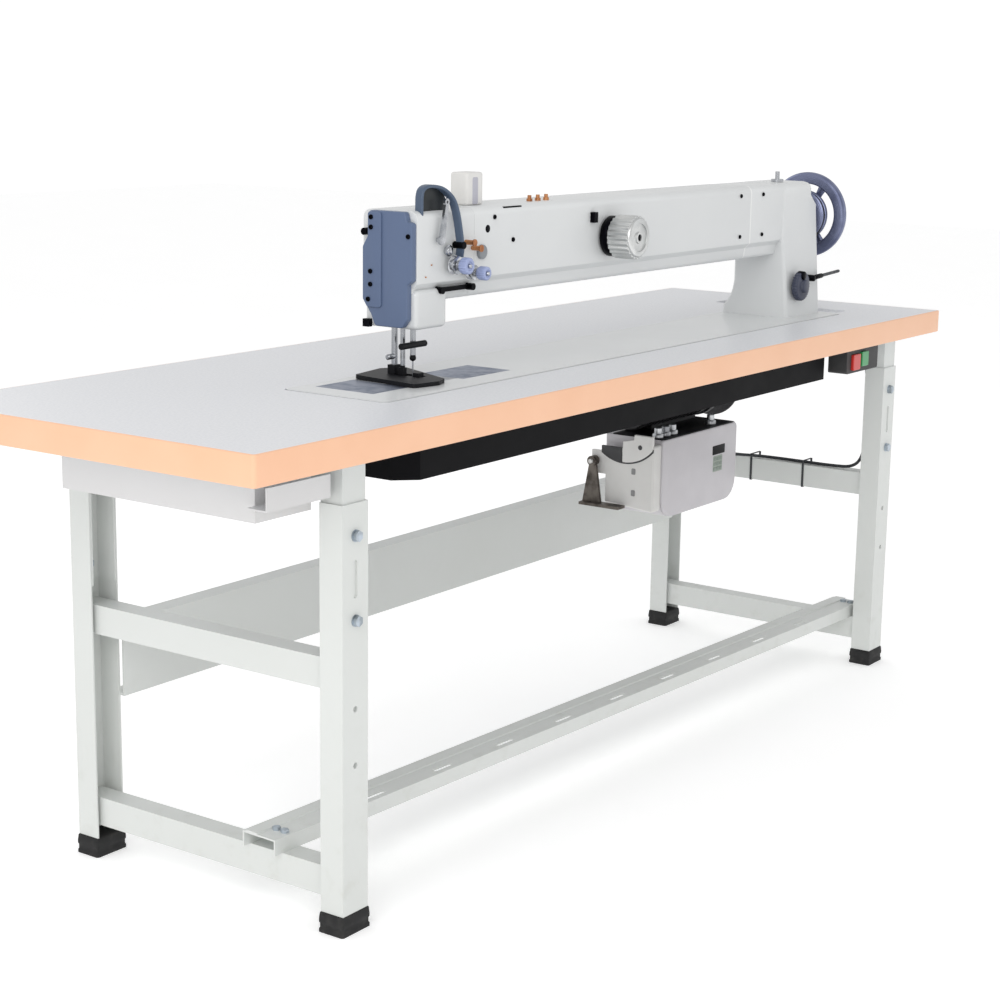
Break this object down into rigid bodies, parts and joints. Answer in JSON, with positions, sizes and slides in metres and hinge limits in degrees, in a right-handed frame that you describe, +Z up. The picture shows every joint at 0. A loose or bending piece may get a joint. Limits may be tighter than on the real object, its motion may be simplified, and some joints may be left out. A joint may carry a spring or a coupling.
{
  "type": "sewing machine",
  "caption": "Long-arm walking-foot sewing machine on a table with steel stand, under-table servo motor, belt drive, handwheel, oil pan and drawer.",
  "frame": {"origin": "floor level under the middle of the table top", "axes": "+X along the table from the needle to the handwheel, -Y towards the operator, +Z up"},
  "size_m": [1.915, 0.588, 0.968],
  "materials": {
    "table_laminate": "satin laminate",
    "edge_plastic": "satin",
    "stand_paint": "satin powder coat",
    "foot_rubber": "matt",
    "zinc_steel": "zinc plated",
    "pan_paint": "gloss black",
    "drawer_paint": "satin powder coat",
    "switch_plastic": "satin",
    "stop_red": "gloss",
    "start_green": "gloss",
    "box_paint": "fine texture",
    "panel_plastic": "satin",
    "cover_plastic": "satin",
    "motor_paint": "painted",
    "bright_steel": "ground",
    "plate_steel": "fine ground",
    "lever_black": "blackened",
    "belt_rubber": "matt",
    "lead_rubber": "satin",
    "head_paint": "gloss enamel",
    "face_paint": "satin",
    "chrome_fittings": "polished",
    "brass_fittings": "polished",
    "dial_blue": "satin",
    "wheel_aluminium": "turned",
    "wheel_dark": "turned",
    "dial_plastic": "satin"
  },
  "bodies": {
    "machine": {"table_top": "table_laminate", "edge_band": "edge_plastic", "front_left_leg": "stand_paint", "front_right_leg": "stand_paint", "rear_left_leg": "stand_paint", "rear_right_leg": "stand_paint", "left_upper_frame": "stand_paint", "right_upper_frame": "stand_paint", "left_mid_rail": "stand_paint", "right_mid_rail": "stand_paint", "left_lower_rail": "stand_paint", "right_lower_rail": "stand_paint", "rear_beam": "stand_paint", "foot_bar": "stand_paint", "rubber_feet": "foot_rubber", "stand_bolts": "zinc_steel", "bed_supports": "zinc_steel", "motor_bracket": "zinc_steel", "drawer_runners": "zinc_steel", "oil_pan": "pan_paint", "switch_box": "switch_plastic", "control_box": "box_paint", "control_panel": "panel_plastic", "end_cover": "cover_plastic", "thread_box": "cover_plastic", "motor_body": "motor_paint", "needle_plate": "bright_steel", "left_cover_plate": "plate_steel", "right_cover_plate": "plate_steel", "tension_levers": "lever_black", "take_up_guard": "lever_black", "drive_belt": "belt_rubber", "switch_lead": "lead_rubber", "lead_ties": "lead_rubber", "arm": "head_paint", "column": "head_paint", "needle_head": "head_paint", "bed": "head_paint", "face_plate": "face_paint", "tension_block": "chrome_fittings", "head_screws": "chrome_fittings", "thread_guides": "brass_fittings"},
    "drawer": {"drawer": "drawer_paint"},
    "stop_button": {"stop_button": "stop_red"},
    "start_button": {"start_button": "start_green"},
    "motor_pulley": {"motor_pulley": "bright_steel"},
    "speed_lever": {"speed_lever": "lever_black"},
    "main_shaft": {"arm_shaft": "bright_steel", "handwheel": "wheel_dark"},
    "hook_shaft": {"hook_shaft": "bright_steel"},
    "needle_bar": {"needle_bar": "bright_steel"},
    "walking_foot": {"walking_foot": "lever_black"},
    "presser_foot": {"presser_foot": "lever_black"},
    "take_up_lever": {"take_up_lever": "chrome_fittings"},
    "upper_tension_dial": {"upper_tension_dial": "dial_blue"},
    "lower_tension_dial": {"lower_tension_dial": "dial_blue"},
    "bobbin_winder": {"bobbin_winder": "chrome_fittings"},
    "aux_wheel": {"aux_wheel": "wheel_aluminium"},
    "stitch_dial": {"stitch_dial": "dial_plastic"},
    "reverse_lever": {"reverse_lever": "lever_black"}
  },
  "joints": [
    {"name": "handwheel_spin", "type": "hinge", "parent": "machine", "child": "main_shaft", "pos_m": [0.825, -0.075, 0.855], "axis": [1, 0, 0], "continuous": true},
    {"name": "motor_spin", "type": "hinge", "parent": "machine", "child": "motor_pulley", "pos_m": [0.804, 0.095, 0.525], "axis": [1, 0, 0], "continuous": true},
    {"name": "hook_spin", "type": "hinge", "parent": "machine", "child": "hook_shaft", "pos_m": [0, -0.084, 0.655], "axis": [1, 0, 0], "continuous": true},
    {"name": "aux_wheel_spin", "type": "hinge", "parent": "machine", "child": "aux_wheel", "pos_m": [0.055, -0.15, 0.861], "axis": [0, 1, 0], "continuous": true},
    {"name": "needle_travel", "type": "slide", "parent": "machine", "child": "needle_bar", "axis": [0, 0, 1], "range_m": [-0.01, 0.018]},
    {"name": "walking_foot_lift", "type": "slide", "parent": "machine", "child": "walking_foot", "axis": [0, 0, 1], "range_m": [0, 0.005]},
    {"name": "presser_foot_lift", "type": "slide", "parent": "machine", "child": "presser_foot", "axis": [0, 0, 1], "range_m": [0, 0.008]},
    {"name": "take_up_swing", "type": "hinge", "parent": "machine", "child": "take_up_lever", "pos_m": [-0.388, -0.128, 0.88], "axis": [0, 1, 0], "range_deg": [-22, 6]},
    {"name": "upper_tension_turn", "type": "hinge", "parent": "machine", "child": "upper_tension_dial", "pos_m": [-0.36, -0.15, 0.844], "axis": [0, 1, 0], "range_deg": [-180, 180]},
    {"name": "lower_tension_turn", "type": "hinge", "parent": "machine", "child": "lower_tension_dial", "pos_m": [-0.32, -0.15, 0.831], "axis": [0, 1, 0], "range_deg": [-180, 180]},
    {"name": "winder_spin", "type": "hinge", "parent": "machine", "child": "bobbin_winder", "pos_m": [0.673, -0.087, 0.925], "axis": [0, 0, 1], "continuous": true},
    {"name": "stitch_dial_turn", "type": "hinge", "parent": "machine", "child": "stitch_dial", "pos_m": [0.671, -0.145, 0.737], "axis": [0, -1, 0], "range_deg": [0, 300]},
    {"name": "reverse_press", "type": "hinge", "parent": "machine", "child": "reverse_lever", "pos_m": [0.716, -0.145, 0.748], "axis": [0, 1, 0], "range_deg": [0, 20], "stiffness_Nm_per_rad": 2, "springref_deg": -8.59},
    {"name": "speed_lever_rock", "type": "hinge", "parent": "machine", "child": "speed_lever", "pos_m": [0.393, 0.114, 0.424], "axis": [1, 0, 0], "range_deg": [-12, 12], "stiffness_Nm_per_rad": 4},
    {"name": "drawer_slide", "type": "slide", "parent": "machine", "child": "drawer", "axis": [0, -1, 0], "range_m": [0, 0.2]},
    {"name": "stop_press", "type": "slide", "parent": "machine", "child": "stop_button", "axis": [0, 1, 0], "range_m": [0, 0.004], "stiffness_N_per_m": 600},
    {"name": "start_press", "type": "slide", "parent": "machine", "child": "start_button", "axis": [0, 1, 0], "range_m": [0, 0.004], "stiffness_N_per_m": 600}
  ],
  "couplings": [
    {"joint": "motor_spin", "follows": "handwheel_spin", "ratio": 1.1176},
    {"joint": "hook_spin", "follows": "handwheel_spin", "ratio": 2},
    {"joint": "aux_wheel_spin", "follows": "handwheel_spin", "ratio": 1}
  ]
}
